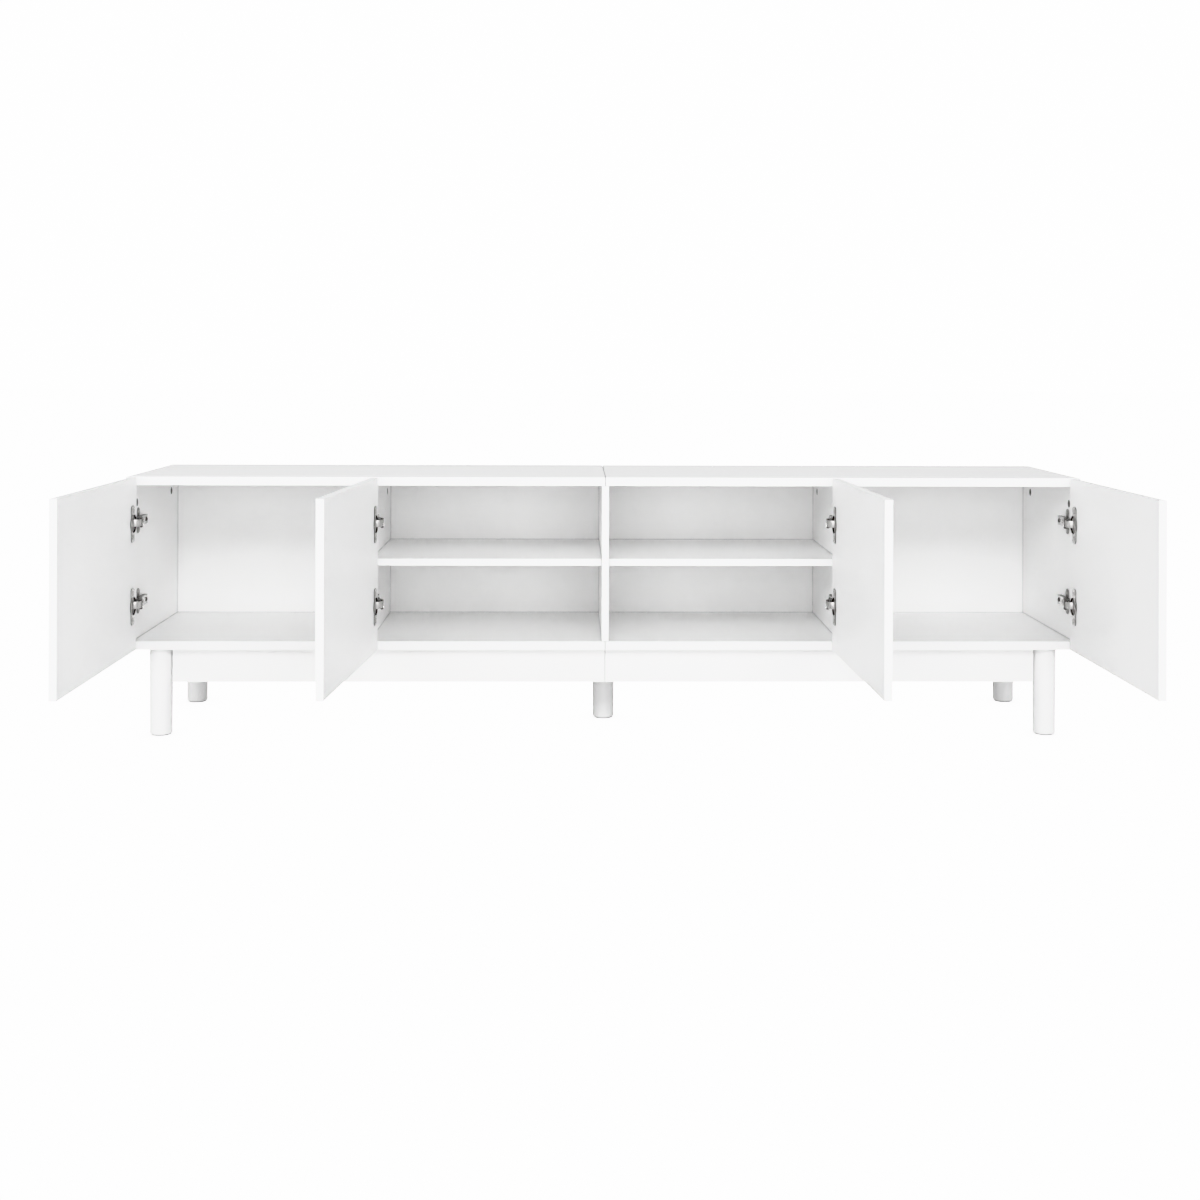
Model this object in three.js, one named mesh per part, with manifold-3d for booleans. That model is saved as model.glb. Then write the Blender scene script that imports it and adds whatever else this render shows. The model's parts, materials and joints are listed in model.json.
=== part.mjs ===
// A long, low cabinet on five round legs, with four doors on concealed hinges.
// Millimetres, +Z up, +X to the right, doors at -Y. The origin is on the floor
// under the middle of the cabinet, at the centre of the middle leg's foot.
// The carcass is built in two halves that meet over the centre divider. Every
// door is drawn shut in its own group, and the group turns it to its open angle.

import * as THREE from "three";
import { mergeVertices } from "three/addons/utils/BufferGeometryUtils.js";
import Module from "manifold-3d";

const wasm = await Module();
wasm.setup();

// ---------------------------------------------------------------- dimensions

const width = 1800;
const depth = 350;
const height = 490;
const legHeight = 165;
const thickBoard = 16; // top and bottom
const thinBoard = 13; // sides, dividers, shelves and doors
const fitGap = 0.3; // between pieces that touch
const roundSteps = 40; // facets of a bore or a cup

const front = -depth / 2;
const rear = depth / 2;
const bottomTop = legHeight + thickBoard; // upper face of the bottom panel
const topUnderside = height - thickBoard;
const middle = (bottomTop + topUnderside) / 2; // half the height inside
const dividerX = width / 4; // outer dividers, from the centre

const backSheet = { thickness: 3, setIn: 6, groove: 4 };
const backFront = rear - backSheet.setIn - backSheet.thickness;

const shelf = { setBack: 20 };
const apron = { height: 64, thickness: 16, setBack: 20, legGap: 1.5 };
const leg = {
  topRadius: 22,
  footRadius: 21,
  chamfer: 1.5,
  fromSide: 60,
  fromFront: 32,
  fromRear: 28,
  segments: 48,
};

const door = {
  length: width / 4 - 3,
  topReveal: 0.5,
  bottomReveal: 1.5,
  edgeReveal: 1.5, // from the carcass edge, or from the divider's centre line
  behind: 3, // space between the door and the carcass front
  angles: { outerLeft: 90.5, innerLeft: 94, innerRight: 91.5, outerRight: 90.5 },
};
const doorHeight = height - legHeight - door.topReveal - door.bottomReveal;

// Places across a hinge are given as [in, out]: "in" is measured from the door's
// hinge line (the carcass edge or the divider's centre line) towards the middle
// of its opening, and "out" from the carcass front, positive towards the rear.
const hinge = {
  pivot: [10, -15.5],
  offMiddle: 76.5, // each hinge above or below the middle of the door
  cupCentre: 23, // in
  cupRadius: 17.2,
  cupWall: 0.9,
  cupDepth: 9.5,
  boreRadius: 17.5,
  boreDepth: 10.2,
  flange: { length: 68, width: 20, thickness: 1.2, off: 5, rim: 19, corner: 6 },
  linkWidth: 11,
  linkSheet: 2,
  linkEye: 1.7, // radius of the rolled end at each pivot
  linkTurn: 0.7, // the link's turn for each degree of the door's, the other way
  linkLine: [[0, 0], [-5.5, -6], [-2.4, -11.8], [-10.5, -11.5]], // from the arm's pivot
};
const arm = {
  pivot: [31, -6.5],
  width: 17,
  sheet: 1.4,
  nose: 2.8, // radius of the cheeks about the pivot
  rise: 10.4, // the back, in from the board's face
  crank: 27, // where the back bends out to the nose
  cheekLead: 10, // the cheeks leave the plate this far ahead of the crank
  cheekEnd: 2, // and reach the nose this far behind the pivot
  backEnd: 5, // the back stops this far behind the pivot
  tail: 70,
  tailBevel: 3,
};
const plate = {
  thickness: 1.6,
  height: 48,
  strip: 15, // breadth of the two wings
  line: 37, // the wing screws, behind the carcass front
  baseWidth: 12,
  baseStart: 22,
  baseEnd: 68,
  baseRise: 3.2,
};

// ----------------------------------------------------------------- materials

const finish = (color, roughness, metalness) =>
  new THREE.MeshStandardMaterial({ color, roughness, metalness });
const whiteBoard = () => finish(0xf1f1ef, 0.45, 0);
const backBoard = () => finish(0xe9e9e8, 0.6, 0);
const legWhite = () => finish(0xececea, 0.5, 0);
const nickel = () => finish(0xb9bab8, 0.3, 1);

// ------------------------------------------------------------------- helpers

// A closed geometry as a solid for cutting and joining.
function solid(geometry) {
  const bare = geometry.index ? geometry.toNonIndexed() : geometry.clone();
  bare.deleteAttribute("normal");
  bare.deleteAttribute("uv");
  const merged = mergeVertices(bare, 1e-4);
  return new wasm.Manifold(
    new wasm.Mesh({
      numProp: 3,
      vertProperties: merged.attributes.position.array,
      triVerts: new Uint32Array(merged.index.array),
    }),
  );
}

function geometryOf(body) {
  const mesh = body.getMesh();
  const geometry = new THREE.BufferGeometry();
  const places = new THREE.BufferAttribute(mesh.vertProperties, 3);
  geometry.setAttribute("position", places);
  geometry.setIndex(new THREE.BufferAttribute(mesh.triVerts, 1));
  geometry.computeVertexNormals();
  return geometry;
}

function piece(name, geometry, material, parent = cabinet) {
  const mesh = new THREE.Mesh(geometry, material);
  mesh.name = name;
  parent.add(mesh);
  return mesh;
}

// A box between two corners.
function block([x0, y0, z0], [x1, y1, z1]) {
  const box = new THREE.BoxGeometry(
    Math.abs(x1 - x0),
    Math.abs(y1 - y0),
    Math.abs(z1 - z0),
  );
  return box.translate((x0 + x1) / 2, (y0 + y1) / 2, (z0 + z1) / 2);
}

// A plan outline raised from z0 to z1.
function raised(outline, z0, z1) {
  const options = { depth: z1 - z0, bevelEnabled: false, curveSegments: 10 };
  return new THREE.ExtrudeGeometry(outline, options).translate(0, 0, z0);
}

const cabinet = new THREE.Group();
const sides = [
  { word: "left", sign: -1 },
  { word: "right", sign: 1 },
];

// ------------------------------------------------------------------- carcass

// The groove that holds a back sheet, as wide as the half cabinet.
function backGroove(sign) {
  const inner = thinBoard / 2 - backSheet.groove;
  const outer = width / 2 - thinBoard + backSheet.groove;
  return solid(
    block(
      [sign * inner, backFront - fitGap, bottomTop - backSheet.groove],
      [
        sign * outer,
        backFront + backSheet.thickness + fitGap,
        topUnderside + backSheet.groove,
      ],
    ),
  );
}

function grooved(board, signs) {
  let body = solid(board);
  for (const sign of signs) body = body.subtract(backGroove(sign));
  return geometryOf(body);
}

function panels({ word, sign }) {
  const seam = sign * fitGap;
  const edge = (sign * width) / 2;
  const topPanel = block([seam, front, topUnderside], [edge, rear, height]);
  const bottomPanel = block([seam, front, legHeight], [edge, rear, bottomTop]);
  piece(`top_panel_${word}`, grooved(topPanel, [sign]), whiteBoard());
  piece(`bottom_panel_${word}`, grooved(bottomPanel, [sign]), whiteBoard());

  const low = bottomTop + fitGap;
  const high = topUnderside - fitGap;
  const inside = edge - sign * thinBoard;
  const sidePanel = block([inside, front, low], [edge, rear, high]);
  piece(`side_panel_${word}`, grooved(sidePanel, [sign]), whiteBoard());

  const half = thinBoard / 2;
  const divider = block(
    [sign * dividerX - half, front, low],
    [sign * dividerX + half, backFront - fitGap, high],
  );
  piece(`divider_${word}`, divider, whiteBoard());

  const shelfBoard = block(
    [sign * (half + fitGap), front + shelf.setBack, middle - half],
    [sign * (dividerX - half - fitGap), backFront - fitGap, middle + half],
  );
  piece(`shelf_${word}`, shelfBoard, whiteBoard());

  const reach = backSheet.groove - fitGap;
  const sheet = block(
    [sign * (half - reach), backFront, bottomTop - reach],
    [
      sign * (width / 2 - thinBoard + reach),
      backFront + backSheet.thickness,
      topUnderside + reach,
    ],
  );
  piece(`back_panel_${word}`, sheet, backBoard());
}

function centreDivider() {
  const half = thinBoard / 2;
  const board = block(
    [-half, front, bottomTop + fitGap],
    [half, rear, topUnderside - fitGap],
  );
  piece("divider_centre", grooved(board, [-1, 1]), whiteBoard());
}

// --------------------------------------------------------------- understructure

function aprons({ word, sign }) {
  const legInside = width / 2 - leg.fromSide - leg.topRadius;
  const top = legHeight - fitGap;
  const rail = block(
    [sign * fitGap, front + apron.setBack, top - apron.height],
    [
      sign * (legInside - apron.legGap),
      front + apron.setBack + apron.thickness,
      top,
    ],
  );
  piece(`apron_${word}`, rail, whiteBoard());
}

function roundLeg(name, x, y) {
  const top = legHeight - fitGap;
  const profile = [
    new THREE.Vector2(0, 0),
    new THREE.Vector2(leg.footRadius - leg.chamfer, 0),
    new THREE.Vector2(leg.footRadius, leg.chamfer),
    new THREE.Vector2(leg.topRadius, top),
    new THREE.Vector2(0, top),
  ];
  const turned = new THREE.LatheGeometry(profile, leg.segments);
  const body = geometryOf(solid(turned.rotateX(Math.PI / 2)));
  piece(name, body, legWhite()).position.set(x, y, 0);
}

function legs({ word, sign }) {
  const x = sign * (width / 2 - leg.fromSide);
  roundLeg(`leg_front_${word}`, x, front + leg.fromFront);
  roundLeg(`leg_rear_${word}`, x, rear - leg.fromRear);
}

// --------------------------------------------------------------------- doors

// A place in plan, from a hinge's [in, out] measures, relative to the pivot.
// "hand" is 1 for a door hung on its left edge and -1 on its right.
function fromPivot(hand, [inward, outward]) {
  const [pivotIn, pivotOut] = hinge.pivot;
  return new THREE.Vector2(hand * (inward - pivotIn), outward - pivotOut);
}

// A cylinder whose axis runs front to rear, at [in, out] of its two ends.
function standingRound(hand, radius, inward, out0, out1, z) {
  const drum = new THREE.CylinderGeometry(radius, radius, out1 - out0, roundSteps);
  const centre = fromPivot(hand, [inward, (out0 + out1) / 2]);
  return drum.translate(centre.x, centre.y, z);
}

function doorBoard(hand, hingeZs) {
  const start = fromPivot(hand, [door.edgeReveal, -door.behind]);
  const end = fromPivot(hand, [
    door.edgeReveal + door.length,
    -door.behind - thinBoard,
  ]);
  const low = legHeight + door.bottomReveal;
  let board = solid(
    block([start.x, end.y, low], [end.x, start.y, low + doorHeight]),
  );
  for (const z of hingeZs) {
    const bore = standingRound(
      hand,
      hinge.boreRadius,
      hinge.cupCentre,
      -door.behind - hinge.boreDepth,
      -door.behind + 1,
      z,
    );
    board = board.subtract(solid(bore));
  }
  return geometryOf(board);
}

// The pressed cup, with a flange that carries its two fixing screws.
function hingeCup(hand, z) {
  const face = -door.behind + fitGap;
  const lip = face + hinge.flange.thickness;
  const bottom = -door.behind - hinge.cupDepth;
  const { length, width: wing, off, rim, corner } = hinge.flange;
  const cx = hinge.cupCentre;

  const outline = new THREE.Shape();
  const x0 = off - wing / 2;
  const x1 = off + wing / 2;
  const z1 = length / 2;
  outline.moveTo(x0 + corner, -z1);
  outline.lineTo(x1 - corner, -z1);
  outline.absarc(x1 - corner, -z1 + corner, corner, -Math.PI / 2, 0, false);
  outline.lineTo(x1, z1 - corner);
  outline.absarc(x1 - corner, z1 - corner, corner, 0, Math.PI / 2, false);
  outline.lineTo(x0 + corner, z1);
  outline.absarc(x0 + corner, z1 - corner, corner, Math.PI / 2, Math.PI, false);
  outline.lineTo(x0, -z1 + corner);
  outline.absarc(x0 + corner, -z1 + corner, corner, Math.PI, 1.5 * Math.PI, false);
  const wings = raised(outline, 0, lip - face).rotateX(Math.PI / 2);
  const centre = fromPivot(hand, [cx, lip]);
  if (hand < 0) wings.rotateZ(Math.PI).translate(0, -(lip - face), 0);
  wings.translate(centre.x, centre.y, z);

  const rimDisc = standingRound(hand, rim, cx, face, lip, z);
  const shell = standingRound(hand, hinge.cupRadius, cx, bottom, lip, z);
  const hollow = standingRound(
    hand,
    hinge.cupRadius - hinge.cupWall,
    cx,
    bottom + hinge.cupWall,
    lip + 1,
    z,
  );
  const body = solid(wings)
    .add(solid(rimDisc))
    .add(solid(shell))
    .subtract(solid(hollow));
  return geometryOf(body);
}

// The goose-neck link that the arm's nose carries, drawn about the arm pivot as
// it stands with the door square to the cabinet. Its far end reaches into the
// cup past the rim, so it is a band along a curve with a rolled eye at each end.
function hingeLink(hand, z) {
  const points = hinge.linkLine.map(
    ([inward, outward]) => new THREE.Vector2(hand * inward, outward),
  );
  const path = new THREE.CubicBezierCurve(...points);
  const steps = 12; // along the band
  const half = hinge.linkSheet / 2;
  const outer = [];
  const inner = [];
  for (let i = 0; i <= steps; i++) {
    const at = path.getPoint(i / steps);
    const along = path.getTangent(i / steps);
    const across = new THREE.Vector2(-along.y, along.x).multiplyScalar(half);
    outer.push(at.clone().add(across));
    inner.push(at.clone().sub(across));
  }
  const band = new THREE.Shape([...outer, ...inner.reverse()]);
  const z0 = z - hinge.linkWidth / 2;
  const z1 = z + hinge.linkWidth / 2;
  let body = solid(raised(band, z0, z1));
  for (const end of [points[0], points[3]]) {
    const eye = new THREE.Shape();
    eye.absarc(end.x, end.y, hinge.linkEye, 0, 2 * Math.PI, false);
    body = body.add(solid(raised(eye, z0, z1)));
  }
  return geometryOf(body);
}

// ------------------------------------------------- hinge parts on the carcass

// The mounting plate: two screw wings up and down, and a raised base that the
// arm clips to. "face" is how far in the board's face lies.
function hingePlate(hand, face, z) {
  const { thickness, height: tall, strip, line } = plate;
  const low = face + fitGap;
  const wingShape = new THREE.Shape();
  const end = strip / 2;
  wingShape.moveTo(-end, -tall / 2 + end);
  wingShape.absarc(0, -tall / 2 + end, end, Math.PI, 2 * Math.PI, false);
  wingShape.lineTo(end, tall / 2 - end);
  wingShape.absarc(0, tall / 2 - end, end, 0, Math.PI, false);
  const wings = raised(wingShape, 0, thickness);
  // The shape's y becomes up and its thickness becomes "in".
  wings.rotateX(Math.PI / 2).rotateZ(Math.PI / 2);
  wings.translate(hand > 0 ? low : -low - thickness, line, z);
  const base = block(
    [hand * low, plate.baseStart, z - plate.baseWidth / 2],
    [hand * (low + plate.baseRise), plate.baseEnd, z + plate.baseWidth / 2],
  );
  return geometryOf(solid(wings).add(solid(base)));
}

// The arm: a channel pressed from sheet, open towards the board, that carries
// the link between its cheeks. It is cranked out from the plate to the nose,
// further where the board's face lies further out.
function hingeArm(hand, face, z) {
  const [noseIn, noseOut] = arm.pivot;
  const { nose, sheet, crank, tail, tailBevel } = arm;
  const foot = face + 2 * fitGap + plate.thickness;
  const back = face + arm.rise;
  const cheekEnd = noseOut + arm.cheekEnd;
  const backEnd = noseOut + arm.backEnd;

  const cheek = new THREE.Shape();
  cheek.moveTo(hand * foot, tail);
  cheek.lineTo(hand * foot, crank - arm.cheekLead);
  cheek.lineTo(hand * (noseIn - nose), cheekEnd);
  cheek.lineTo(hand * (noseIn - nose), noseOut);
  if (hand > 0) cheek.absarc(noseIn, noseOut, nose, Math.PI, 2 * Math.PI, false);
  else cheek.absarc(-noseIn, noseOut, nose, 0, -Math.PI, true);
  cheek.lineTo(hand * (noseIn + nose), backEnd);
  cheek.lineTo(hand * back, crank);
  cheek.lineTo(hand * back, tail - tailBevel);
  cheek.lineTo(hand * (back - tailBevel), tail);

  // The space between the cheeks runs past them by "clear" where it is open.
  const clear = 1;
  const across = new THREE.Vector2(crank - backEnd, noseIn + nose - back);
  const inset = across.normalize().multiplyScalar(sheet);
  const hollow = new THREE.Shape();
  hollow.moveTo(hand * (foot - clear), tail + clear);
  hollow.lineTo(hand * (foot - clear), crank - arm.cheekLead - 2 * clear);
  hollow.lineTo(hand * (noseIn - nose - clear), noseOut);
  hollow.lineTo(hand * (noseIn - nose - clear), noseOut - nose - clear);
  hollow.lineTo(hand * (noseIn + nose + clear), noseOut - nose - clear);
  hollow.lineTo(hand * (noseIn + nose + clear), backEnd - inset.y);
  hollow.lineTo(hand * (noseIn + nose - inset.x), backEnd - inset.y);
  hollow.lineTo(hand * (back - sheet), crank - inset.y);
  hollow.lineTo(hand * (back - sheet), tail + clear);

  const outer = raised(cheek, z - arm.width / 2, z + arm.width / 2);
  const innerHalf = arm.width / 2 - sheet;
  const inner = raised(hollow, z - innerHalf, z + innerHalf);
  return geometryOf(solid(outer).subtract(solid(inner)));
}

// One door with its two hinges. "line" is the X of its hinge line and "face"
// how far in from it the board that carries the hinges has its face.
function hungDoor(name, hand, line, face, angle) {
  const radians = THREE.MathUtils.degToRad(angle);
  const doorMiddle = legHeight + door.bottomReveal + doorHeight / 2;
  const hinges = [
    { word: "upper", z: doorMiddle + hinge.offMiddle },
    { word: "lower", z: doorMiddle - hinge.offMiddle },
  ];

  const fixed = new THREE.Group();
  fixed.position.set(line, front, 0);
  cabinet.add(fixed);

  const swung = new THREE.Group();
  const [pivotIn, pivotOut] = hinge.pivot;
  swung.position.set(line + hand * pivotIn, front + pivotOut, 0);
  swung.rotation.z = -hand * radians;
  cabinet.add(swung);
  const [armIn, armOut] = arm.pivot;
  const zs = hinges.map((h) => h.z);
  piece(`door_${name}`, doorBoard(hand, zs), whiteBoard(), swung);

  for (const { word, z } of hinges) {
    const tag = `${name}_${word}`;
    piece(`hinge_plate_${tag}`, hingePlate(hand, face, z), nickel(), fixed);
    piece(`hinge_arm_${tag}`, hingeArm(hand, face, z), nickel(), fixed);
    piece(`hinge_cup_${tag}`, hingeCup(hand, z), nickel(), swung);
    const link = piece(`hinge_link_${tag}`, hingeLink(hand, z), nickel());
    link.position.set(line + hand * armIn, front + armOut, 0);
    link.rotation.z = hand * hinge.linkTurn * (radians - Math.PI / 2);
  }
}

// ------------------------------------------------------------------ assembly

for (const side of sides) {
  panels(side);
  aprons(side);
  legs(side);
}
centreDivider();
roundLeg("leg_centre", 0, 0);

const { outerLeft, innerLeft, innerRight, outerRight } = door.angles;
hungDoor("outer_left", 1, -width / 2, thinBoard, outerLeft);
hungDoor("inner_left", 1, -dividerX, thinBoard / 2, innerLeft);
hungDoor("inner_right", -1, dividerX, thinBoard / 2, innerRight);
hungDoor("outer_right", -1, width / 2, thinBoard, outerRight);

export default cabinet;
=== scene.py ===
import json
import math

import bmesh
import bpy
from mathutils import Matrix, Vector


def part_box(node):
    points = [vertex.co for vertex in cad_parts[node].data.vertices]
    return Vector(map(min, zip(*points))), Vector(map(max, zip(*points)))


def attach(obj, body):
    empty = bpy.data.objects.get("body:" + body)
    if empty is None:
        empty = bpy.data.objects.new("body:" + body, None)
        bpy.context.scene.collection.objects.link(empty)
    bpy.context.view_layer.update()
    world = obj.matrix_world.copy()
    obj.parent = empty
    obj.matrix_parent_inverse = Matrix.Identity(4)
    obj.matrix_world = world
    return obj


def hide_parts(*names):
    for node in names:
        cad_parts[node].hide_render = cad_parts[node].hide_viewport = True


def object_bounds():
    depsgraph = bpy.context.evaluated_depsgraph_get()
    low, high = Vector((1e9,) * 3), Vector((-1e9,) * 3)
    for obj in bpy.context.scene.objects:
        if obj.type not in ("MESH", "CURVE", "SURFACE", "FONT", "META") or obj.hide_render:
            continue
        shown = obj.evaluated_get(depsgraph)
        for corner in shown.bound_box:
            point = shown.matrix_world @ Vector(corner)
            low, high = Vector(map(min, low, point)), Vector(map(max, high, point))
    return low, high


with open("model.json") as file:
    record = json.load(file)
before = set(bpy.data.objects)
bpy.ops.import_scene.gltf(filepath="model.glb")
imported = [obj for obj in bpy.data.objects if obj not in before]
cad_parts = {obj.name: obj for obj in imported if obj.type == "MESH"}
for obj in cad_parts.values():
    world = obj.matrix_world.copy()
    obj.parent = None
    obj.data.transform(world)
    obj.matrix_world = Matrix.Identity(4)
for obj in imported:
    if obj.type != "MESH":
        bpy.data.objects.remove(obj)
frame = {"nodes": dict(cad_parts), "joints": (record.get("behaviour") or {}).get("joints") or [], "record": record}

# A long white cabinet on five legs, with four doors on concealed hinges.
# Metres in the world. Hinge parts are drawn in millimetres and scaled as they are placed.

cadBox = [list(corner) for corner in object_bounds()]
bodyOf = {node: body for body, nodes in frame["record"]["behaviour"]["bodies"].items() for node in nodes}
joints = {joint["name"]: joint for joint in frame["joints"]}
carcass = "carcass"
mm = 0.001
up = Vector((0, 0, 1))
sides = ("left", "right")
doors = ("outer_left", "inner_left", "inner_right", "outer_right")
levels = ("upper", "lower")

topLow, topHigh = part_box("top_panel_left")
frontY, topZ, boardTop = topLow.y, topHigh.z, topLow.z      # boardTop: the top panel's underside


class Wire:
    # a socket that takes part in sums
    def __init__(self, maker, socket):
        self.maker, self.socket = maker, socket

    def maths(self, operation, first, second):
        return self.maker.add("ShaderNodeMath", {"operation": operation}, {0: first, 1: second})

    def __add__(self, other):
        return self.maths("ADD", self, other)

    def __radd__(self, other):
        return self.maths("ADD", other, self)

    def __sub__(self, other):
        return self.maths("SUBTRACT", self, other)

    def __rsub__(self, other):
        return self.maths("SUBTRACT", other, self)

    def __mul__(self, other):
        return self.maths("MULTIPLY", self, other)

    def __rmul__(self, other):
        return self.maths("MULTIPLY", other, self)


class NodeMaker:
    # every node comes from add: its type, its settings, its sockets, and the output that is wanted
    def __init__(self, tree):
        self.tree = tree

    def add(self, kind, settings=None, sockets=None, output=0):
        node = self.tree.nodes.new(kind)
        for name, value in (settings or {}).items():
            if name == "stops":
                for stop, (place, colour) in zip(node.color_ramp.elements, value):
                    stop.position, stop.color = place, colour
            else:
                setattr(node, name, value)
        for key, value in (sockets or {}).items():
            for item in value if isinstance(value, list) else [value]:
                if isinstance(item, Wire):
                    self.tree.links.new(item.socket, node.inputs[key])
                else:
                    node.inputs[key].default_value = item
        return Wire(self, node.outputs[output]) if len(node.outputs) else node


def newMaterial(name):
    material = bpy.data.materials.new(name)
    material.use_nodes = True
    material.node_tree.nodes.clear()
    return material, NodeMaker(material.node_tree)


def closeMaterial(make, fixed, **wires):
    # fixed: numbers set on the shader's own sockets; wires: what changes over the surface
    sockets = dict(fixed)
    sockets.update({name.replace("_", " "): wire for name, wire in wires.items()})
    shader = make.add("ShaderNodeBsdfPrincipled", {}, sockets)
    make.add("ShaderNodeOutputMaterial", {}, {"Surface": shader})


def noise(make, where, scale, detail=2.0, rough=0.5):
    return make.add("ShaderNodeTexNoise", {}, {
        "Vector": where, "Scale": scale, "Detail": detail, "Roughness": rough})


def stretched(make, where, scale):
    return make.add("ShaderNodeMapping", {}, {"Vector": where, "Scale": scale})


def objectPlace(make):
    return make.add("ShaderNodeTexCoord", {}, {}, 3)


def tinted(make, factor, dark, light):
    # from dark to light over the middle of the factor's range
    return make.add("ShaderNodeValToRGB", {"stops": [(0.3, dark), (0.7, light)]}, {0: factor})


def bumped(make, height, distance, under=None):
    # under: a coarser or finer bump that this one is added to
    sockets = {"Height": height, "Distance": distance}
    if under:
        sockets["Normal"] = under
    return make.add("ShaderNodeBump", {}, sockets)


def grey(value, warmth=0.0):
    return (value + warmth, value, value - warmth, 1)


# painted shade where pieces meet: its reach, strength, darkest grey and rays
creaseShadeLook = {"reach": 0.003, "strength": 0.9, "dark": 0.38, "rays": 8}


def paintCreaseShade(make, colour):
    # painted shade: the colour darkens towards grey where ambient occlusion finds another piece within reach, in
    # creases and joints
    paintedShadeOpenness = make.add("ShaderNodeAmbientOcclusion", {"samples": creaseShadeLook["rays"]},
                       {"Distance": creaseShadeLook["reach"]}, "AO")
    return make.add("ShaderNodeMix", {"data_type": "RGBA"}, {
        0: creaseShadeLook["strength"] * (1 - paintedShadeOpenness), 6: colour, 7: grey(creaseShadeLook["dark"])}, 2)


boardFinish = {
    "pale": 0.88, "paler": 0.89, "cloudScale": 2.6,
    "roughness": 0.44, "roughnessRange": 0.07, "smudgeScale": 14,
    "pebbleScale": 1500, "pebbleShare": 0.7, "rippleScale": 1500 / 9, "pebbleDepth": 0.00002,
}


def melamineBoard():
    # a satin face with a fine pebble, faint smudges and a hardly visible cloud
    look = boardFinish
    material, make = newMaterial("satin_white_board")
    where = objectPlace(make)
    cloud = noise(make, where, look["cloudScale"], 3)
    smudge = noise(make, where, look["smudgeScale"], 4, 0.6)
    pebble = noise(make, where, look["pebbleScale"])
    ripple = noise(make, where, look["rippleScale"])
    colour = tinted(make, cloud, grey(look["pale"], 0.002), grey(look["paler"]))
    closeMaterial(
        make, {"IOR": 1.5},
        # the base colour carries painted shade where pieces meet
        Base_Color=paintCreaseShade(make, colour),
        Roughness=look["roughness"] + look["roughnessRange"] * (smudge - 0.5),
        Normal=bumped(make, pebble * look["pebbleShare"] + ripple, look["pebbleDepth"]),
    )
    return material


edgeFinish = {
    "pale": 0.885, "paler": 0.895, "cloudScale": 9,
    "roughness": 0.36, "roughnessRange": 0.08,
    "streaks": (6, 6, 900), "streakDepth": 0.000012,
}


def edgeStrip():
    # plastic banding: a touch brighter and smoother than the face, with faint scraper streaks
    look = edgeFinish
    material, make = newMaterial("edge_strip")
    where = objectPlace(make)
    streak = noise(make, stretched(make, where, look["streaks"]), 1.0, 3)
    cloud = noise(make, where, look["cloudScale"])
    colour = tinted(make, cloud, grey(look["pale"]), grey(look["paler"]))
    closeMaterial(
        make, {"IOR": 1.5},
        # the base colour carries painted shade where pieces meet
        Base_Color=paintCreaseShade(make, colour),
        Roughness=look["roughness"] + look["roughnessRange"] * (streak - 0.5),
        Normal=bumped(make, streak, look["streakDepth"]),
    )
    return material


sheetFinish = {
    "pale": 0.85, "paler": 0.865, "roughness": 0.55, "roughnessRange": 0.08,
    "fibreScale": 700, "fibreDepth": 0.00004, "waveScale": 1.7, "waveDepth": 0.0004,
}


def paintedSheet():
    # thin painted fibreboard: duller than the boards, a soft orange peel and a slow wave
    look = sheetFinish
    material, make = newMaterial("painted_fibreboard")
    where = objectPlace(make)
    fibre = noise(make, where, look["fibreScale"], 3, 0.6)
    wave = noise(make, where, look["waveScale"], 1)
    colour = tinted(make, wave, grey(look["pale"]), grey(look["paler"]))
    closeMaterial(
        make, {"IOR": 1.48},
        # the base colour carries painted shade where pieces meet
        Base_Color=paintCreaseShade(make, colour),
        Roughness=look["roughness"] + look["roughnessRange"] * (fibre - 0.5),
        Normal=bumped(make, wave, look["waveDepth"], bumped(make, fibre, look["fibreDepth"])),
    )
    return material


paintFinish = {
    "pale": 0.84, "paler": 0.86, "cloudScale": 11, "roughness": 0.42, "roughnessRange": 0.1,
    "grain": (420, 420, 9), "grainDepth": 0.00005, "rings": (2, 2, 160), "ringDepth": 0.00002,
}


def legPaint():
    # satin paint over turned wood: grain along the leg, and the last trace of the lathe
    look = paintFinish
    material, make = newMaterial("satin_leg_paint")
    where = objectPlace(make)
    grain = noise(make, stretched(make, where, look["grain"]), 1.0, 4, 0.6)
    lathe = noise(make, stretched(make, where, look["rings"]), 1.0)
    cloud = noise(make, where, look["cloudScale"])
    colour = tinted(make, cloud, grey(look["pale"], 0.002), grey(look["paler"]))
    closeMaterial(
        make, {"IOR": 1.5},
        # the base colour carries painted shade where pieces meet
        Base_Color=paintCreaseShade(make, colour),
        Roughness=look["roughness"] + look["roughnessRange"] * (grain - 0.5),
        Normal=bumped(make, lathe, look["ringDepth"], bumped(make, grain, look["grainDepth"])),
    )
    return material


footFinish = {
    "dark": 0.55, "light": 0.6, "roughness": 0.5, "roughnessRange": 0.15, "scale": 350, "depth": 0.00003,
}


def footPlastic():
    look = footFinish
    material, make = newMaterial("glide_plastic")
    grain = noise(make, objectPlace(make), look["scale"])
    closeMaterial(
        make, {},
        Base_Color=tinted(make, grain, grey(look["dark"]), grey(look["light"])),
        Roughness=look["roughness"] + look["roughnessRange"] * (grain - 0.5),
        Normal=bumped(make, grain, look["depth"]),
    )
    return material


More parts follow.
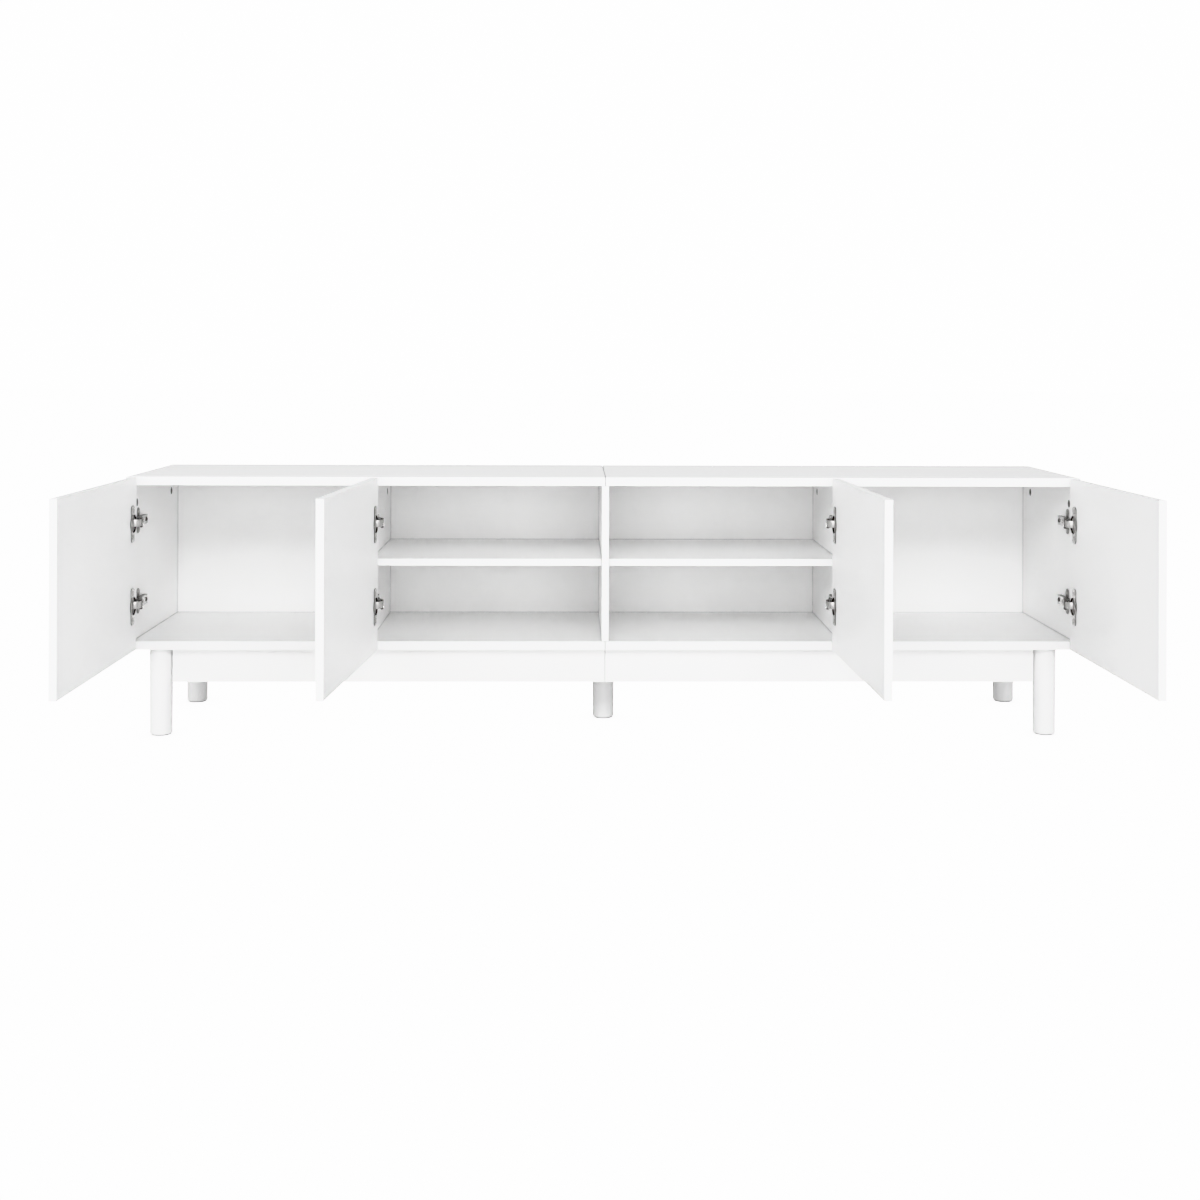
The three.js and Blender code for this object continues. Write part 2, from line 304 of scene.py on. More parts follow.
metalFinish = {
    # base grey, second grey, roughness, roughness range, brushing depth
    "satin_nickel": (0.65, 0.70, 0.27, 0.08, 0.000002),
    "pressed_zinc": (0.29, 0.36, 0.34, 0.10, 0.000004),
    # painted shade: a near-black copy of the steel, for the arm's channel and holes and the cup's wall under its
    # lip
    "painted_shade_steel": (0.06, 0.09, 0.42, 0.15, 0.000005),
    "cup_lining": (0.60, 0.66, 0.42, 0.12, 0.000004),
    "link_nickel": (0.58, 0.64, 0.42, 0.10, 0.000003),
    # dark nickel for the lock screw; elsewhere painted shade and reflection on the arm's nose and cheeks, the
    # flange's cut edge and the link's sides
    "dark_nickel": (0.10, 0.15, 0.34, 0.12, 0.000003),
    "screw_steel": (0.46, 0.52, 0.28, 0.10, 0.000003),
    "cam_zinc": (0.14, 0.19, 0.45, 0.15, 0.00001),
}
brushedLook = {"blotch": 120, "brushing": (1800, 120, 1800), "speckle": 900, "blotchShare": 0.6}


def plated(name):
    look = brushedLook
    dark, light, roughness, spread, depth = metalFinish[name]
    material, make = newMaterial(name)
    where = objectPlace(make)
    blotch = noise(make, where, look["blotch"], 3, 0.6)
    brushing = noise(make, stretched(make, where, look["brushing"]), 1.0, 3)
    speckle = noise(make, where, look["speckle"])
    uneven = blotch * look["blotchShare"] + speckle * (1 - look["blotchShare"])
    closeMaterial(
        make, {"Metallic": 1.0},
        Base_Color=tinted(make, blotch, grey(dark, 0.004), grey(light, 0.006)),
        Roughness=roughness + spread * (uneven - 0.5),
        Normal=bumped(make, brushing, depth),
    )
    return material


board, strip = melamineBoard(), edgeStrip()
sheet, paint, glide = paintedSheet(), legPaint(), footPlastic()
nickel, zinc, paintedShadeSteel = plated("satin_nickel"), plated("pressed_zinc"), plated("painted_shade_steel")
lining, linkNickel, darkNickelAndPaintedShade = plated("cup_lining"), plated("link_nickel"), plated("dark_nickel")
screwSteel, camZinc = plated("screw_steel"), plated("cam_zinc")
print("finishes made")


def link(name, mesh):
    piece = bpy.data.objects.new(name, mesh)
    bpy.context.scene.collection.objects.link(piece)
    return piece


def meshFrom(name, bm, *materials):
    mesh = bpy.data.meshes.new(name)
    bm.to_mesh(mesh)
    bm.free()
    for material in materials:
        mesh.materials.append(material)
    return mesh


def settle(piece, body, slotName, *nodes):
    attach(piece, body)
    if nodes:
        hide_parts(*nodes)


def nodeCopy(node):
    # a node's own mesh with its loose triangles merged into flat faces
    bm = bmesh.new()
    bm.from_mesh(frame["nodes"][node].data)
    bmesh.ops.remove_doubles(bm, verts=bm.verts, dist=1e-6)
    bmesh.ops.dissolve_limit(bm, angle_limit=math.radians(1), verts=bm.verts, edges=bm.edges)
    return bm


def flattened(piece):
    # the piece's evaluated mesh takes the place of its modifiers
    depsgraph = bpy.context.evaluated_depsgraph_get()
    mesh = bpy.data.meshes.new_from_object(piece.evaluated_get(depsgraph))
    piece.modifiers.clear()
    piece.data = mesh
    return piece


quarter = math.pi / 2


def arcPoints(centre, radius, start, end, count):
    # count steps along an arc, with both of its ends
    return [
        (centre[0] + radius * math.cos(start + (end - start) * i / count),
         centre[1] + radius * math.sin(start + (end - start) * i / count))
        for i in range(count + 1)
    ]


def prism(outline, low, high, along="z"):
    # a straight solid over a flat outline: (x, y) along z, (y, z) along x, or (z, x) along y
    turns = {
        "z": lambda u, v, w: (u, v, w), "x": lambda u, v, w: (w, u, v), "y": lambda u, v, w: (v, w, u)}
    turn = turns[along]
    bm = bmesh.new()
    bottom = bm.faces.new([bm.verts.new(turn(u, v, low)) for u, v in outline])
    lifted = bmesh.ops.extrude_face_region(bm, geom=[bottom])
    moved = [item for item in lifted["geom"] if isinstance(item, bmesh.types.BMVert)]
    bmesh.ops.translate(bm, verts=moved, vec=Vector(turn(0, 0, high - low)))
    bmesh.ops.recalc_face_normals(bm, faces=bm.faces)
    return bm


def roundOutline(centre, radius, reach=0.0, steps=10):
    # a circle, or a slot with round ends that reaches both ways in its first direction
    right = arcPoints((centre[0] + reach, centre[1]), radius, -quarter, quarter, steps)
    left = arcPoints((centre[0] - reach, centre[1]), radius, quarter, 3 * quarter, steps)
    if reach == 0:
        right, left = right[:-1], left[:-1]
    return right + left


def joined(*shapes):
    # several bmesh shapes in one mesh, each still closed
    whole = bmesh.new()
    for shape in shapes:
        spare = bpy.data.meshes.new("spare")
        shape.to_mesh(spare)
        shape.free()
        whole.from_mesh(spare)
        bpy.data.meshes.remove(spare)
    return whole


def carved(base, cuts=(), adds=(), ease=0.0):
    # base with shapes added and cut away, then every sharp edge eased
    work = link("work", meshFrom("work", base))
    tools = []
    for operation, shapes in (("UNION", adds), ("DIFFERENCE", cuts)):
        for shape in shapes:
            tool = link("tool", meshFrom("tool", shape))
            modifier = work.modifiers.new("carve", "BOOLEAN")
            modifier.operation, modifier.object, modifier.solver = operation, tool, "EXACT"
            tools.append(tool)
    if ease:
        rounding = work.modifiers.new("ease", "BEVEL")
        rounding.width, rounding.segments, rounding.angle_limit = ease, 2, math.radians(40)
    flattened(work)
    bm = bmesh.new()
    bm.from_mesh(work.data)
    for item in tools + [work]:
        bpy.data.objects.remove(item)
    return bm


spots = {}     # (kind, body) -> the places and aims of the fasteners


# cam locks near the top of the sides and dividers, in shallow bores
camLook = {"below": 0.035, "front": 0.032, "rear": 0.290, "shift": 0.03, "bore": 0.0075, "deep": 0.002}
camSides = {
    # board: (which face, further in from the front and the rear)
    "side_panel_left": [(1, 0)], "side_panel_right": [(-1, 0)],
    "divider_left": [(1, 0)], "divider_right": [(-1, 0)],
    "divider_centre": [(-1, 0), (1, camLook["shift"])],
}


def camPlaces(node):
    # where a board's cam locks sit on its face, and which way they look
    places = []
    for way, shift in camSides.get(node, []):
        low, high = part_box(node)
        faceX = high.x if way > 0 else low.x
        for depthIn in (camLook["front"] + shift, camLook["rear"] - shift):
            place = Vector((faceX, frontY + depthIn, boardTop - camLook["below"]))
            places.append((place, Vector((way, 0, 0))))
    spots.setdefault(("camLock", bodyOf[node]), []).extend(places)
    return places


def camBores(cams):
    # in millimetres, because the carving is more exact there
    deep, clear, radius = camLook["deep"], camLook["deep"] / 4, camLook["bore"] / mm
    bores = []
    for place, aim in cams:
        outline = roundOutline((place.y / mm, place.z / mm), radius, 0, 18)
        bores.append(prism(
            outline, (place.x - aim.x * deep) / mm, (place.x + aim.x * clear) / mm, "x"))
    return bores


boardLook = {
    "round": 0.0004,       # eased edges
    "shortEdge": 0.005,    # edges shorter than this are bores, and stay sharp
    "strip": 0.001,        # thickness of the edge strip
    "seam": 0.00015,       # half the width of the glue line
    "seamDepth": 0.0001,
    "sharp": 60,           # edges that turn by more degrees than this are eased
    "steps": 3,
    "halfGap": 0.0004,     # each half of the cabinet stops this short of the middle
}


def easeEdges(bm, size):
    # a small round on every outside edge
    sharp = []
    for edge in bm.edges:
        if len(edge.link_faces) == 2 and edge.calc_length() > boardLook["shortEdge"]:
            if edge.calc_face_angle_signed(0) > math.radians(boardLook["sharp"]):
                sharp.append(edge)
    bmesh.ops.bevel(
        bm, geom=sharp, offset=size, segments=boardLook["steps"], profile=0.5,
        affect="EDGES", clamp_overlap=True)


def bandEdge(bm, axis, sign):
    # marks the edge strip on one side, behind a hairline glue seam
    reach = [vert.co[axis] * sign for vert in bm.verts]
    outward = Vector((0, 0, 0))
    outward[axis] = sign
    for offset, seam in ((boardLook["seam"], False), (0, True), (-boardLook["seam"], False)):
        plane = outward * (max(reach) - boardLook["strip"] + offset)
        cut = bmesh.ops.bisect_plane(
            bm, geom=bm.verts[:] + bm.edges[:] + bm.faces[:], dist=1e-7, plane_co=plane, plane_no=outward)
        if seam:
            groove = [item for item in cut["geom_cut"] if isinstance(item, bmesh.types.BMVert)]
    bm.normal_update()
    for vert in groove:
        inward = vert.normal - outward * vert.normal.dot(outward)
        vert.co -= inward.normalized() * boardLook["seamDepth"]
    for face in bm.faces:
        if face.calc_center_median()[axis] * sign > max(reach) - boardLook["strip"]:
            face.material_index = 1


def partHalves(bm, node):
    # a board that ends at the cabinet's middle stops a little short of it
    low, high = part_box(node)
    for vert in bm.verts:
        if abs(vert.co.x) < boardLook["halfGap"]:
            vert.co.x = math.copysign(boardLook["halfGap"], low.x + high.x)


def boardPiece(node, bands, turned=Matrix.Identity(4)):
    # turned: how the board stands in the frame, where it isn't square to it
    bm = nodeCopy(node)
    partHalves(bm, node)
    bm.transform(turned.inverted())
    easeEdges(bm, boardLook["round"])
    for axis, sign in bands:
        bandEdge(bm, axis, sign)
    bm.transform(turned)
    cams = camPlaces(node) if node in camSides else []
    if cams:
        bm.transform(Matrix.Scale(1 / mm, 4))
        bm = carved(bm, cuts=camBores(cams))
        bm.transform(Matrix.Scale(mm, 4))
    piece = link(node + "_board", meshFrom(node, bm, board, strip))
    settle(piece, bodyOf[node], "white_board", node)


# edges that carry a strip, as (axis, sign)
frontBand, rearBand, lowBand = (1, -1), (1, 1), (2, -1)
for side, sign in zip(sides, (-1, 1)):
    endBands = [(0, sign), (0, -sign)]
    boardPiece("top_panel_" + side, [frontBand, rearBand] + endBands)
    boardPiece("bottom_panel_" + side, [frontBand, rearBand] + endBands)
    boardPiece("side_panel_" + side, [frontBand, rearBand])
    boardPiece("divider_" + side, [frontBand])
    boardPiece("shelf_" + side, [frontBand])
    boardPiece("apron_" + side, [lowBand] + endBands)
boardPiece("divider_centre", [frontBand, rearBand])
print("carcass boards done")


def restAngle(door):
    # how far the door stands open in the frame
    return -math.radians(joints[f"door_{door}_swing"]["range_deg"][0])


def handOf(door):
    # 1 for a door hung on its left edge, -1 on its right
    return -joints[f"door_{door}_swing"]["axis"][2]


def pivotOf(door):
    place = joints[f"door_{door}_swing"]["pos_m"]
    return Vector((place[0], place[1], 0))


def doorTurn(door):
    # from the shut door, about its own pivot, to where the door stands
    return Matrix.Translation(pivotOf(door)) @ Matrix.Rotation(-handOf(door) * restAngle(door), 4, "Z")


for door in doors:
    boardPiece("door_" + door, [(2, 1), lowBand, (0, 1), (0, -1)], doorTurn(door))
print("doors done")

backLook = {"round": 0.0006}
for side in sides:
    node = "back_panel_" + side
    bm = nodeCopy(node)
    easeEdges(bm, backLook["round"])
    settle(link(node + "_sheet", meshFrom(node, bm, sheet)), bodyOf[node], "back_sheet", node)
print("back sheets done")

legLook = {
    "steps": 96,
    "taper": 0.001,          # the foot's radius is this much less than the top's
    "glideHeight": 0.003,
    "glideInset": 0.0035,
    "glideRound": 0.001,
    "footRound": 0.0022,
    "footGap": 0.0006,
    "topEase": 0.0008,
}


def turnedShape(profile, steps):
    # a closed round shape about Z, from (radius, height) points that start and end on the axis
    bm = bmesh.new()
    verts = [bm.verts.new((radius, 0, height)) for radius, height in profile]
    edges = [bm.edges.new(pair) for pair in zip(verts, verts[1:])]
    bmesh.ops.spin(
        bm, geom=verts + edges, cent=(0, 0, 0), axis=up, angle=2 * math.pi, steps=steps, use_merge=True)
    bmesh.ops.remove_doubles(bm, verts=bm.verts, dist=1e-7)
    bmesh.ops.recalc_face_normals(bm, faces=bm.faces)
    return bm


def smoothed(mesh, angle=30):
    mesh.shade_smooth()
    mesh.set_sharp_from_angle(angle=math.radians(angle))
    return mesh


def legProfile(bottomRadius, topRadius, low, high):
    foot, ease = legLook["footRound"], legLook["topEase"]
    points = [(0, low)]
    points += arcPoints((bottomRadius - foot, low + foot), foot, -quarter, 0, 6)
    points += arcPoints((topRadius - ease, high - ease), ease, 0, quarter, 3)
    points.append((0, high))
    return points


def roundLeg(node):
    low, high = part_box(node)
    centre = (low + high) / 2
    topRadius = (high.x - low.x) / 2
    bottomRadius = topRadius - legLook["taper"]
    place = Matrix.Translation((centre.x, centre.y, 0))
    start = legLook["glideHeight"] - legLook["footGap"]
    bm = turnedShape(legProfile(bottomRadius, topRadius, start, high.z), legLook["steps"])
    bm.transform(place)
    leg = link(node + "_turned", smoothed(meshFrom(node, bm, paint)))
    settle(leg, bodyOf[node], "leg_paint", node)

    pad = bottomRadius - legLook["glideInset"]
    ease = legLook["glideRound"]
    profile = [(0, 0)] + arcPoints((pad - ease, ease), ease, -quarter, 0, 4)
    profile += [(pad, legLook["glideHeight"]), (0, legLook["glideHeight"])]
    bm = turnedShape(profile, legLook["steps"])
    bm.transform(place)
    foot = link(node + "_glide", smoothed(meshFrom(node + "_glide", bm, glide)))
    settle(foot, bodyOf[node], "leg_paint")


for node in frame["nodes"]:
    if node.startswith("leg_"):
        roundLeg(node)
print("legs done")


# Hinges are drawn for a door hung on its left edge: x runs in from the hinge line,
# y back from the carcass front, z up from the hinge's middle.
hingeLook = {
    "pivot": (10, -15.5),
    "armPivot": (31, -6.5),
    "doorFace": -3,
    "lift": 0.3,             # flange and plate stand this far off the board
    "linkTurn": 0.7,         # how far a link turns for each degree of its door
}
cupLook = {
    "centre": 23, "radius": 17.2, "wall": 0.9, "depth": 9.5, "rim": 19,
    "bottomRound": 2.4, "rimRound": 0.5, "rimStep": 0.2, "mouthRound": 0.8, "bowlRound": 2,
    "padRadius": 9.6, "padRise": 0.6,       # the raised middle of the bowl
    "shadeDepth": 1.5,       # the wall is painted with shade from its lip down to here
    "sheet": 1.2, "pressed": 0.08,          # the flange, a touch below the rim
    "wingFrom": -5, "wingTo": 15, "wingEnd": 34, "wingCorner": 6, "wingSteps": 14,
    "screw": (6.5, 25),      # in from the cup's centre, and up and down
    "screwSeat": 4.7, "seatDepth": 0.35, "ease": 0.25, "steps": 64,
}
plateLook = {
    "sheet": 1.6, "tall": 48, "broad": 15, "waist": 10.5, "waistRise": 1.5, "line": 37, "screw": 16,
    "baseFrom": 22, "baseTo": 68, "baseHalf": 6, "baseRise": 3.2, "baseCorner": 2,
    "boss": 5.4, "bossRise": 0.5, "bossBevel": 0.7, "ease": 0.3,
}
armLook = {
    "half": 8.5, "sheet": 1.4, "nose": 2.8, "back": 10.4, "crank": 27, "tail": 70,
    "cheekLead": 10, "cheekEnd": 2, "backEnd": 5, "bend": 4, "tailRound": 3, "tailStep": 1,
    "adjust": 37, "lock": 59, "lockSlot": 2.7, "adjustHole": 3.6,
    "dimpleBehind": 1.5, "dimple": 5.6, "dimpleRadius": 1.6, "pin": 1.7, "pinProud": 0.1, "ease": 0.45,
}


def pin(centre, radius, low, high, dome=0.5):
    # a rivet along z with a slightly domed end on both sides
    rise = [(radius * math.cos(a), dome * math.sin(a)) for a in (0.4, 0.8, 1.2)]
    profile = [(0, low - dome)] + [(r, low - d) for r, d in reversed(rise)]
    profile += [(radius, low), (radius, high)] + [(r, high + d) for r, d in rise] + [(0, high + dome)]
    bm = turnedShape(profile, 20)
    bm.transform(Matrix.Translation((centre[0], centre[1], 0)))
    return bm


def aboutCup(bm):
    # a shape turned about Z is laid along the cup's axis, with its height towards the carcass
    centre = Matrix.Translation((cupLook["centre"], hingeLook["doorFace"], 0))
    bm.transform(centre @ Matrix.Rotation(-quarter, 4, "X"))
    return bm


def cupBowl():
    look, lift = cupLook, hingeLook["lift"]
    wall, depth, lip = look["wall"], look["depth"], lift + look["sheet"]
    outer, inner, rim = look["radius"], look["radius"] - wall, look["rim"]
    bottom, edge = look["bottomRound"], look["rimRound"]
    mouth, bowl = look["mouthRound"], look["bowlRound"]
    profile = [(0, -depth)] + arcPoints((outer - bottom, bottom - depth), bottom, -quarter, 0, 5)
    profile += [(outer, lift), (rim - look["rimStep"], lift)]
    profile += arcPoints((rim - edge, lip - edge), edge, 0, quarter, 3)
    profile += arcPoints((inner + mouth, lip - mouth), mouth, quarter, math.pi, 4)
    profile.append((inner, -look["shadeDepth"]))
    profile += arcPoints((inner - bowl, wall + bowl - depth), bowl, 0, -quarter, 5)
    pad, rise = look["padRadius"], look["padRise"]
    profile += [(pad, wall - depth), (pad - rise, wall + rise - depth), (0, wall + rise - depth)]
    return aboutCup(turnedShape(profile, look["steps"]))


def cupWing(way):
    # the flange's upper (way 1) or lower (way -1) ear, with a sunk seat for its screw
    look = cupLook
    low = hingeLook["doorFace"] + hingeLook["lift"]
    high = low + look["sheet"] - look["pressed"]
    corner, end, steps = look["wingCorner"], look["wingEnd"], look["wingSteps"]
    seat = look["rim"] - look["wall"]
    start, stop = look["wingFrom"], look["wingTo"]
    outline = []
    for i in range(steps + 1):
        x = start + (stop - start) * i / steps
        outline.append((math.sqrt(seat * seat - x * x), x))
    outline += arcPoints((end - corner, stop - corner), corner, quarter, 0, 6)
    outline += arcPoints((end - corner, start + corner), corner, 0, -quarter, 6)
    outline = [(way * z, x + look["centre"]) for z, x in outline]
    across, upDown = look["screw"]
    sink = prism(
        roundOutline((way * upDown, look["centre"] + across), look["screwSeat"]),
        high - look["seatDepth"], high + 1, "y")
    return carved(prism(outline, low, high, "y"), cuts=[sink], ease=look["ease"])


def cupShape():
    look = cupLook
    bm = joined(cupBowl(), cupWing(1), cupWing(-1))
    lip = hingeLook["lift"] + look["sheet"]
    inner = look["radius"] - look["wall"]
    for face in bm.faces:
        middle = face.calc_center_median()
        out = math.hypot(middle.x - look["centre"], middle.z)
        height = middle.y - hingeLook["doorFace"]
        # painted shade on the wall just under the lip; the deeper wall and the floor take the lining
        if out < inner + 0.3 and look["wall"] / 2 - look["depth"] < height < lip - 0.3:
            face.material_index = 1 if height > -look["shadeDepth"] else 2
        elif height > hingeLook["lift"] / 2 and abs(face.normal.y) < 0.8:
            face.material_index = 3      # the flange's cut edge, painted dark as shade
    return bm


def armShape(boardFace):
    # a channel: two cheeks from the nose to the tail, joined by a web with a crank in it
    look = armLook
    noseX, noseY = hingeLook["armPivot"]
    nose, thick, end = look["nose"], look["sheet"], look["tailRound"]
    foot = boardFace + 2 * hingeLook["lift"] + plateLook["sheet"]
    back = boardFace + look["back"]
    crank, tail = look["crank"], look["tail"]
    webX, webY = noseX + nose, noseY + look["backEnd"]       # where the web begins
    cheek = [(foot, tail), (foot, crank - look["cheekLead"]), (noseX - nose, noseY + look["cheekEnd"])]
    cheek += arcPoints((noseX, noseY), nose, math.pi, 2 * math.pi, 8)
    cheek += [(webX, webY)]
    lead = Vector((back - webX, crank - webY)).normalized()
    corner = Vector((back, crank))
    start, stop = corner - lead * look["bend"], Vector((back, crank + look["bend"]))
    for t in (0.0, 0.35, 0.65, 1.0):
        point = start * (1 - t) ** 2 + corner * 2 * t * (1 - t) + stop * t * t
        cheek.append((point.x, point.y))
    cheek += [(back, tail - end), (back - look["tailStep"], tail - look["tailStep"]), (back - end, tail)]
    inX, inY = thick * lead.y, -thick * lead.x       # from the web's outer face to its inner one
    hollow = [(foot - 1, tail + 1), (foot - 1, crank - look["cheekLead"] - 2), (noseX - nose - 1, noseY),
              (noseX - nose - 1, noseY - nose - 1), (webX + 1, noseY - nose - 1),
              (webX + 1, webY - inY), (webX - inX, webY - inY),
              (back - thick, crank - inY), (back - thick, tail + 1)]
    half, inner = look["half"], look["half"] - thick
    deep, clear = back - 3, back + 1.5       # holes are cut from above the web to below it
    dimpleY = crank + look["dimpleBehind"]
    cuts = [
        prism(hollow, -inner, inner),
        prism(roundOutline((tail, 0), look["lockSlot"], tail - look["lock"]), deep, clear, "x"),
        prism(roundOutline((look["adjust"], 0), look["adjustHole"]), deep, clear, "x"),
    ]
    for z in (look["dimple"], -look["dimple"]):
        cuts.append(prism(roundOutline((dimpleY, z), look["dimpleRadius"]), deep, clear + 1, "x"))
    bm = carved(prism(cheek, -half, half), cuts=cuts, ease=look["ease"])
    pinEnd = half + look["pinProud"]
    bm = joined(bm, pin((noseX, noseY), look["pin"], -pinEnd, pinEnd))
    for face in bm.faces:
        # 0: bright outside, 1: painted shade in the channel and in the holes, 2: nose and cheeks painted darker,
        #    as shade and reflection
        middle, aim = face.calc_center_median(), face.normal
        if abs(middle.z) < inner + 0.2 and noseY < middle.y and middle.x < back - thick / 2:
            face.material_index = 1 if aim.x < -0.2 or abs(aim.z) > 0.8 else 0
        dimpled = abs(middle.y - dimpleY) < 2 and abs(abs(middle.z) - look["dimple"]) < 2
        slotted = abs(middle.z) < look["lockSlot"] + 0.1
        slotted = slotted and middle.y > look["lock"] - look["lockSlot"] - 0.5
        if (dimpled or slotted) and back - thick - 0.2 < middle.x < back - 0.5:
            face.material_index = 1
        outside = abs(aim.z) > 0.6 and abs(middle.z) > inner and middle.y < crank + 6
        if outside or middle.y < noseY + 1.5:
            face.material_index = 2
    return bm


def plateShape(boardFace):
    # two round wings with raised bosses, and the long base that the arm slides on
    look = plateLook
    low = boardFace + hingeLook["lift"]
    high = low + look["sheet"]
    end, waist, line = look["broad"] / 2, look["waist"] / 2, look["line"]
    reach = look["tall"] / 2 - end
    neck = look["baseHalf"] + look["waistRise"]
    outline = arcPoints((line, reach), end, 0, math.pi, 12)
    outline += [(line - waist, neck), (line - waist, -neck)]
    outline += arcPoints((line, -reach), end, math.pi, 2 * math.pi, 12)
    outline += [(line + waist, -neck), (line + waist, neck)]
    start, stop, half, corner = (look[name] for name in ("baseFrom", "baseTo", "baseHalf", "baseCorner"))
    base = []
    for i, (y, z) in enumerate(((stop - corner, half - corner), (start + corner, half - corner),
                                (start + corner, corner - half), (stop - corner, corner - half))):
        base += arcPoints((y, z), corner, i * quarter, (i + 1) * quarter, 4)
    adds = [prism(base, low + 0.01, low + look["baseRise"], "x")]
    boss, top = look["boss"], look["sheet"] + look["bossRise"]
    profile = [(0, 0), (boss, 0), (boss, look["sheet"]), (boss - look["bossBevel"], top), (0, top)]
    for z in (look["screw"], -look["screw"]):
        shape = turnedShape(profile, 32)
        shape.transform(Matrix.Translation((low, line, z)) @ Matrix.Rotation(quarter, 4, "Y"))
        adds.append(shape)
    return carved(prism(outline, low, high, "x"), adds=adds, ease=look["ease"])


linkLook = {
    "path": ((0, 0), (-1.5, -5.5), (-4.5, -11), (-10.5, -11.5)),    # from the arm to the cup
    "steps": 16, "half": 1.0, "width": 6.6, "eye": 1.7, "ease": 0.25,
    "pin": 1.1, "pinEnd": 6.75, "pinDome": 0.2,
    "oval": 2.3, "ovalReach": 2.2, "ovalRise": 0.45, "ovalAt": 0.5,
}


def linkPoint(t):
    # a place on the link's curve, and the way across the sheet there
    ends = [Vector(p) for p in linkLook["path"]]
    weights = ((1 - t) ** 3, 3 * t * (1 - t) ** 2, 3 * t * t * (1 - t), t ** 3)
    slopes = (-3 * (1 - t) ** 2, 3 * (1 - t) * (1 - 3 * t), 3 * t * (2 - 3 * t), 3 * t * t)
    point = sum((p * w for p, w in zip(ends, weights)), Vector((0, 0)))
    lead = sum((p * w for p, w in zip(ends, slopes)), Vector((0, 0))).normalized()
    return point, Vector((-lead.y, lead.x))


def linkOval():
    # the raised oval on the link's outer side
    look = linkLook
    point, across = linkPoint(look["ovalAt"])
    bm = prism(roundOutline((0, 0), look["oval"], look["ovalReach"]), 0, look["half"] + look["ovalRise"])
    bm.transform(Matrix((
        (0, across.y, across.x, point.x), (0, -across.x, across.y, point.y), (1, 0, 0, 0), (0, 0, 0, 1))))
    bmesh.ops.recalc_face_normals(bm, faces=bm.faces)
    return bm


def linkShape():
    # the neck between the arm's nose and the cup, with a rolled eye and a pin at each end
    look = linkLook
    outer, inner = [], []
    for i in range(look["steps"] + 1):
        point, across = linkPoint(i / look["steps"])
        outer.append(tuple(point + across * look["half"]))
        inner.append(tuple(point - across * look["half"]))
    width, ends = look["width"], (look["path"][0], look["path"][-1])
    adds = [prism(roundOutline(end, look["eye"]), -width, width) for end in ends] + [linkOval()]
    bm = carved(prism(outer + inner[::-1], -width, width), adds=adds, ease=look["ease"])
    pins = [pin(end, look["pin"], -look["pinEnd"], look["pinEnd"], look["pinDome"]) for end in ends]
    bm = joined(bm, *pins)
    for face in bm.faces:
        face.material_index = 1 if abs(face.normal.z) > 0.3 else 0    # its sides are painted darker, as shade
    return bm


def placed(shape, name, where, hand, *materials):
    # a millimetre shape as a world piece; a right-hung door's is the mirror of it
    bm = bmesh.new()
    bm.from_mesh(shape)
    bm.transform(where @ Matrix.Diagonal((hand * mm, mm, mm, 1)))
    if hand < 0:
        bmesh.ops.reverse_faces(bm, faces=bm.faces)
    return link(name, smoothed(meshFrom(name, bm, *materials), 35))


def pivotShift(door):
    return Vector((handOf(door) * hingeLook["pivot"][0], hingeLook["pivot"][1], 0)) * mm


def fixedPlace(door, z):
    # for what is screwed to the carcass
    pivot = pivotOf(door)
    return Matrix.Translation(Vector((pivot.x, pivot.y, z)) - pivotShift(door))


def swungPlace(door, z):
    # for what is screwed to the door
    return Matrix.Translation((0, 0, z)) @ doorTurn(door) @ Matrix.Translation(-pivotShift(door))


def linkPlace(door, z):
    place = joints[f"links_{door}_swing"]["pos_m"]
    turn = handOf(door) * hingeLook["linkTurn"] * (restAngle(door) - quarter)
    return Matrix.Translation((place[0], place[1], z)) @ Matrix.Rotation(turn, 4, "Z")


def boardFaceOf(door):
    # how far in from the hinge line the board that carries the hinges has its face
    low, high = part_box(f"hinge_plate_{door}_upper")
    line = fixedPlace(door, 0).translation.x
    return min(abs(low.x - line), abs(high.x - line)) / mm - hingeLook["lift"]


def spot(kind, body, matrix, hand, place, aim):
    # notes where a fastener goes
    scaled = matrix @ Matrix.Diagonal((hand * mm, mm, mm, 1))
    direction = (scaled.to_3x3() @ Vector(aim)).normalized()
    spots.setdefault((kind, body), []).append((scaled @ Vector(place), direction))


screwSink = {"flange": 0.4, "adjust": 1.2}       # below the flange's face, and the arm's


def hingeScrews(door, fixed, swung, faceIn):
    hand, swinging = handOf(door), bodyOf["door_" + door]
    plateTop = faceIn + hingeLook["lift"] + plateLook["sheet"] + plateLook["bossRise"]
    armTop = faceIn + armLook["back"]
    flangeTop = hingeLook["doorFace"] + hingeLook["lift"] + cupLook["sheet"] - screwSink["flange"]
    across, upDown = cupLook["screw"]
    inwards, backwards = (1, 0, 0), (0, 1, 0)
    for way in (1, -1):
        spot("plateScrew", carcass, fixed, hand,
             (plateTop, plateLook["line"], way * plateLook["screw"]), inwards)
        spot("cupScrew", swinging, swung, hand,
             (cupLook["centre"] + across, flangeTop, way * upDown), backwards)
    spot("lockScrew", carcass, fixed, hand, (armTop, armLook["lock"], 0), inwards)
    spot("adjustScrew", carcass, fixed, hand,
         (armTop - screwSink["adjust"], armLook["adjust"], 0), inwards)


